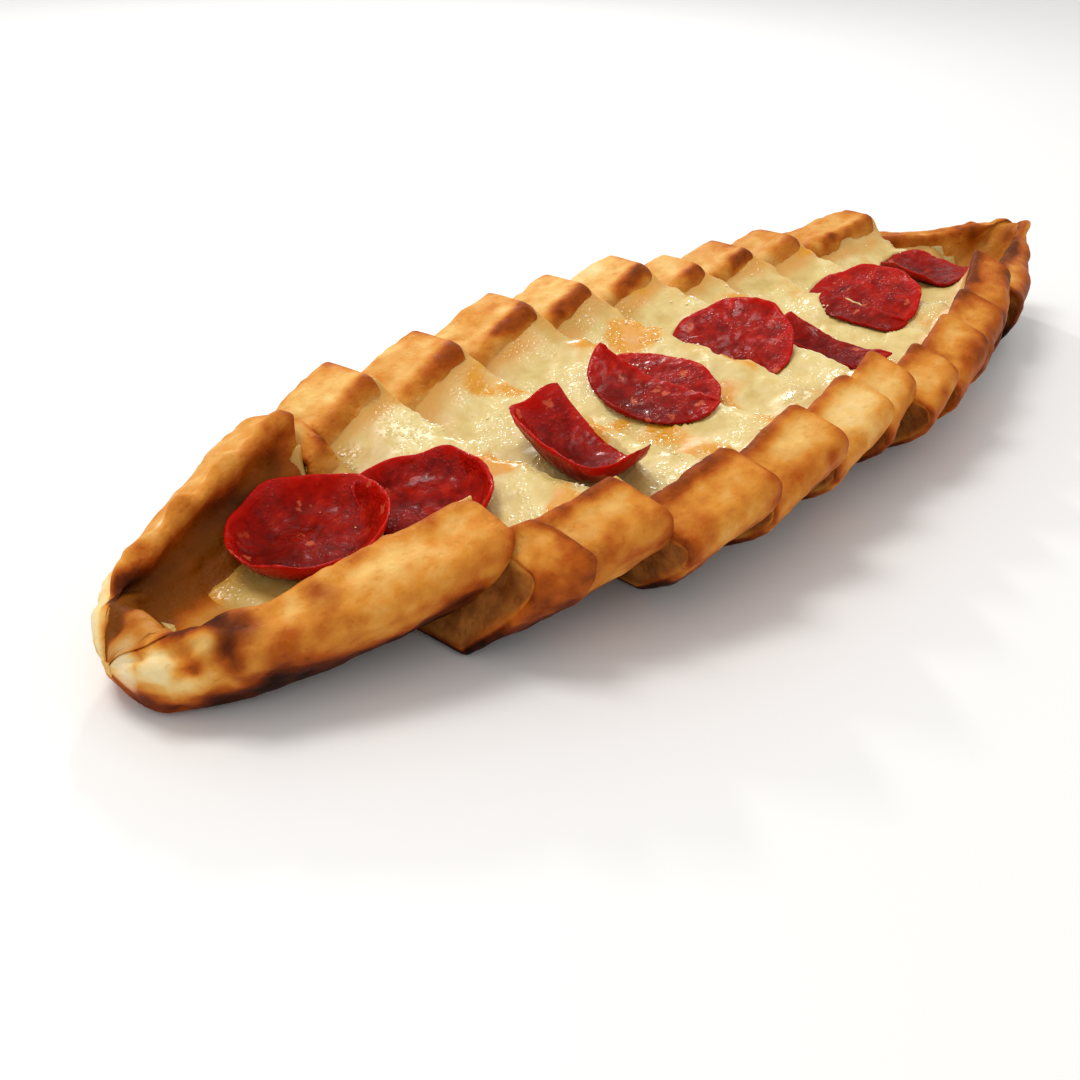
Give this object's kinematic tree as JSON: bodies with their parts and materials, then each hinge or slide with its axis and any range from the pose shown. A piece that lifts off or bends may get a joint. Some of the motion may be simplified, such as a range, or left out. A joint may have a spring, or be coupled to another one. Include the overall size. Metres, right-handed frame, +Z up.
{
  "type": "turkish pide",
  "caption": "Boat-shaped cheese flatbread with thick folded crusts and pinched ends, cut across into leaning slices and topped with curled pepperoni.",
  "frame": {"origin": "on the floor under the middle of the whole bread's box", "axes": "+X along the boat from the low blunt end to the curled pointed end, +Y across it, +Z up"},
  "size_m": [0.3436, 0.1274, 0.0352],
  "materials": {
    "dough": "baked golden bread crust, darker brown on its edges and underside, slightly oily in places",
    "cheese": "melted pale yellow cheese, wet with oil, browned in spots",
    "pepperoni": "cured deep red sausage with paler fat flecks, oily, crisp at the rim"
  },
  "bodies": {
    "root": {"dough_01": "dough", "dough_02": "dough", "dough_03": "dough", "dough_04": "dough", "dough_05": "dough", "dough_06": "dough", "dough_07": "dough", "dough_08": "dough", "dough_09": "dough", "dough_10": "dough", "dough_11": "dough", "dough_12": "dough", "cheese_01": "cheese", "cheese_02": "cheese", "cheese_03": "cheese", "cheese_04": "cheese", "cheese_05": "cheese", "cheese_06": "cheese", "cheese_07": "cheese", "cheese_08": "cheese", "cheese_09": "cheese", "cheese_10": "cheese", "cheese_11": "cheese", "cheese_12": "cheese", "pepperoni_1": "pepperoni", "pepperoni_2": "pepperoni", "pepperoni_3": "pepperoni", "pepperoni_4_front": "pepperoni", "pepperoni_4_back": "pepperoni", "pepperoni_5": "pepperoni", "pepperoni_6": "pepperoni", "pepperoni_7_front": "pepperoni", "pepperoni_7_back": "pepperoni", "pepperoni_8": "pepperoni"}
  },
  "joints": []
}
